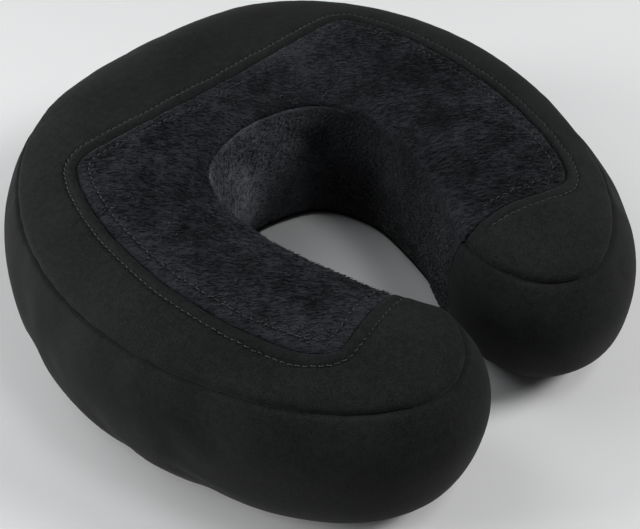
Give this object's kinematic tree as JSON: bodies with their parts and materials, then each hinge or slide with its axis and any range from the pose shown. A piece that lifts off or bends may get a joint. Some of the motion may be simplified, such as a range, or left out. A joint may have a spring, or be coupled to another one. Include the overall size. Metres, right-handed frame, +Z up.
{
  "type": "face cradle cushion",
  "caption": "Horseshoe face cradle cushion: two-layer foam core in a zipped knit cover with a plush face panel and plush face hole.",
  "frame": {"origin": "centre of the cushion's bounding box, on the surface it stands on", "axes": "+Z up, mouth between the arms towards -Y, rear with the zip towards +Y, +X to the right seen from above with the mouth towards the viewer"},
  "size_m": [0.3055, 0.3125, 0.0965],
  "materials": {
    "knit": "matte fine knit",
    "plush": "short brushed pile",
    "base_foam": "open cell foam",
    "memory_foam": "open cell foam",
    "loop_tape": "looped pile",
    "zip_tape": "woven tape",
    "zip_teeth": "satin",
    "zip_metal": "satin black",
    "label": "plain satin tape"
  },
  "bodies": {
    "cushion": {"foam_base_block": "base_foam", "memory_foam_topper": "memory_foam", "cover_top_border": "knit", "cover_side_band": "knit", "cover_base_panel": "knit", "cover_face_panel": "plush", "cover_inner_wall": "plush", "loop_strip_left": "loop_tape", "loop_strip_right": "loop_tape", "loop_strip_rear": "loop_tape", "zip_tape_upper": "zip_tape", "zip_tape_lower": "zip_tape", "zip_teeth_upper": "zip_teeth", "zip_teeth_lower": "zip_teeth", "zip_top_stop_upper": "zip_metal", "zip_top_stop_lower": "zip_metal", "zip_bottom_stop": "zip_metal", "care_label": "label"},
    "zip_slider": {"zip_slider": "zip_metal"},
    "zip_pull": {"zip_pull_tab": "zip_metal"}
  },
  "joints": [
    {"name": "zip_travel", "type": "hinge", "parent": "cushion", "child": "zip_slider", "pos_m": [0, -0.097, 0.024], "axis": [0, 0, 1], "range_deg": [0, 23.2]},
    {"name": "pull_flip", "type": "hinge", "parent": "zip_slider", "child": "zip_pull", "pos_m": [0.05086, 0.15078, 0.024], "axis": [0, 0, -1], "range_deg": [0, 170]}
  ]
}
